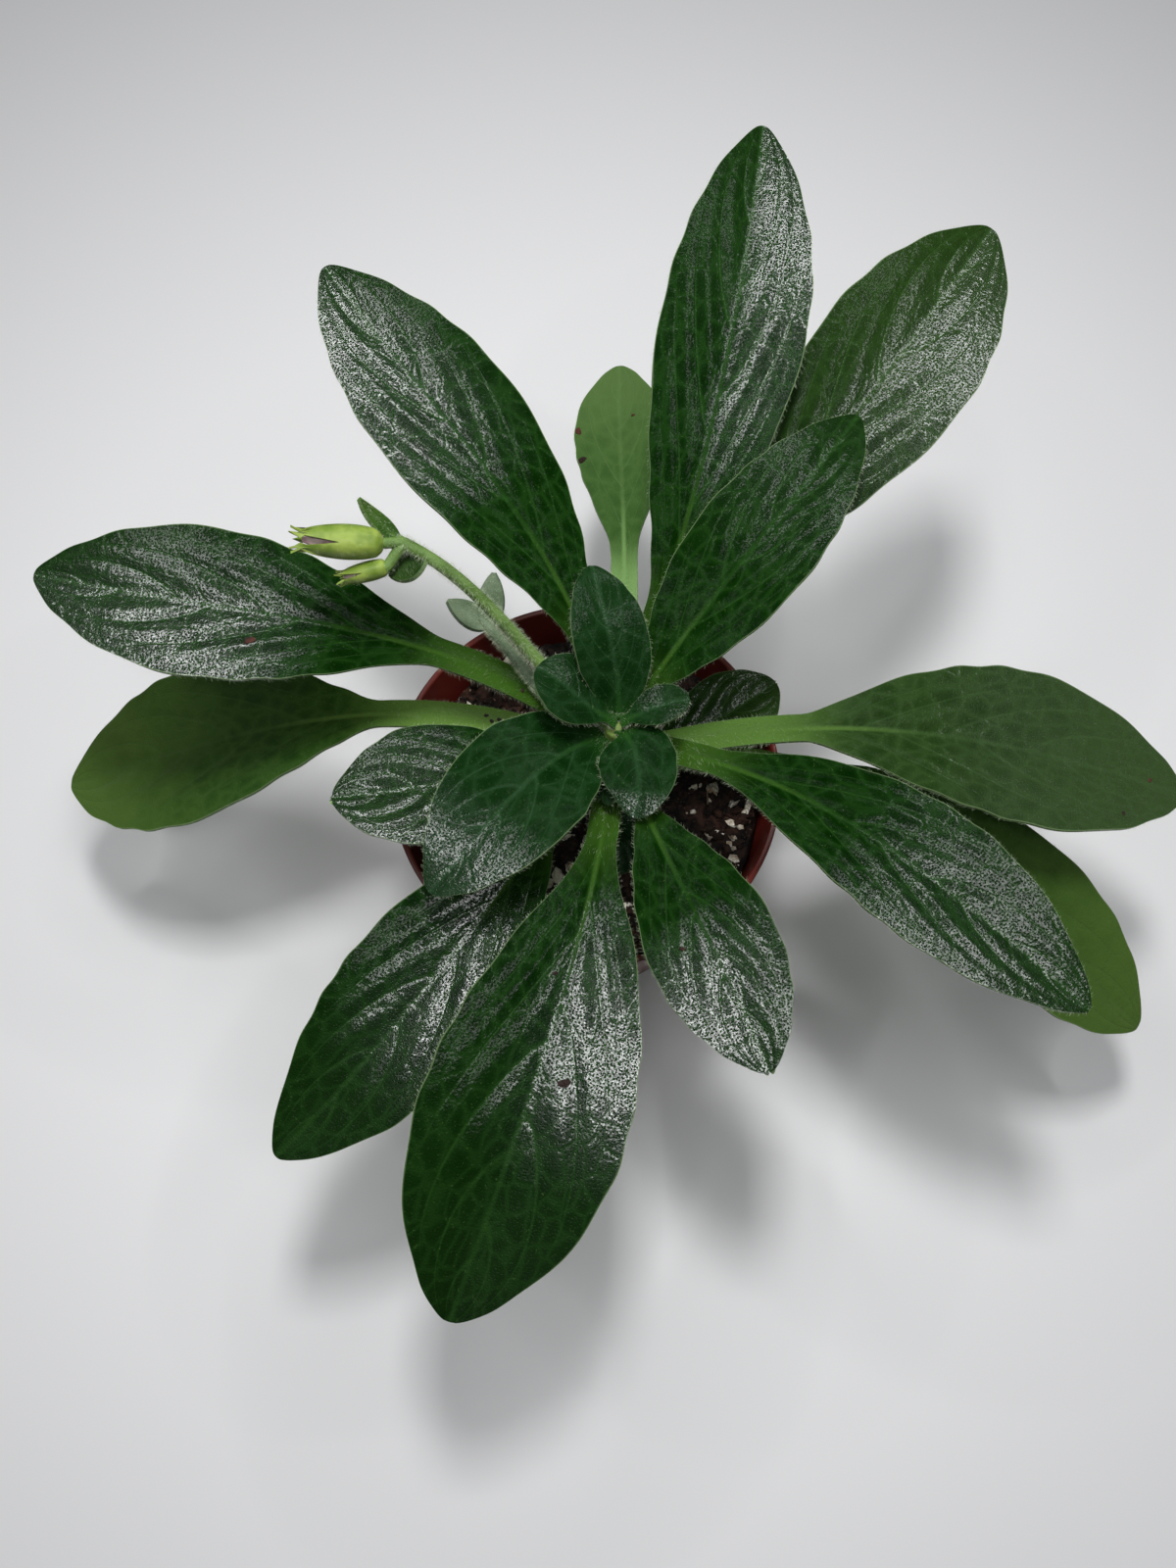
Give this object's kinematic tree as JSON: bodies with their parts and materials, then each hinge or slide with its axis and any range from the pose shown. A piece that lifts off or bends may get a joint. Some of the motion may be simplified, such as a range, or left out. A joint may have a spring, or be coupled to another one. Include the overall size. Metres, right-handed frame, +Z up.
{
  "type": "potted primulina",
  "caption": "House plant with a spreading rosette of fleshy, scalloped, veined green leaves and two young flower stalks, rooted in peat in a round tapered red-brown plastic pot.",
  "frame": {"origin": "middle of the pot's base, on the surface that the pot stands on", "axes": "+Z up along the pot's axis; +Y towards the side of the longest upper leaves, and -Y towards the viewer of the picture"},
  "size_m": [0.2297, 0.2061, 0.1181],
  "materials": {
    "pot_plastic": "semi-gloss red-brown plastic",
    "peat_soil": "matt dark peat with pale perlite grains",
    "stem_green": "green to brown living stem, matt and downy",
    "leaf_green": "fleshy dark green leaf, pebbled satin with pale veins and hairs",
    "stalk_green": "lime green flower stalk, densely downy",
    "corolla_mauve": "pale mauve petal, matt and downy"
  },
  "bodies": {
    "root": {"pot": "pot_plastic", "soil": "peat_soil", "stem": "stem_green", "leaf_01": "leaf_green", "leaf_02": "leaf_green", "leaf_03": "leaf_green", "leaf_04": "leaf_green", "leaf_05": "leaf_green", "leaf_06": "leaf_green", "leaf_07": "leaf_green", "leaf_08": "leaf_green", "leaf_09": "leaf_green", "leaf_10": "leaf_green", "leaf_11": "leaf_green", "leaf_12": "leaf_green", "leaf_13": "leaf_green", "leaf_14": "leaf_green", "leaf_15": "leaf_green", "leaf_16": "leaf_green", "leaf_17": "leaf_green", "leaf_18": "leaf_green", "leaf_19": "leaf_green", "leaf_20": "leaf_green", "leaf_21": "leaf_green", "leaf_22": "leaf_green", "leaf_23": "leaf_green", "flower_stalk_1": "stalk_green", "flower_stalk_2": "stalk_green", "corolla_1": "corolla_mauve", "corolla_2": "corolla_mauve"}
  },
  "joints": []
}
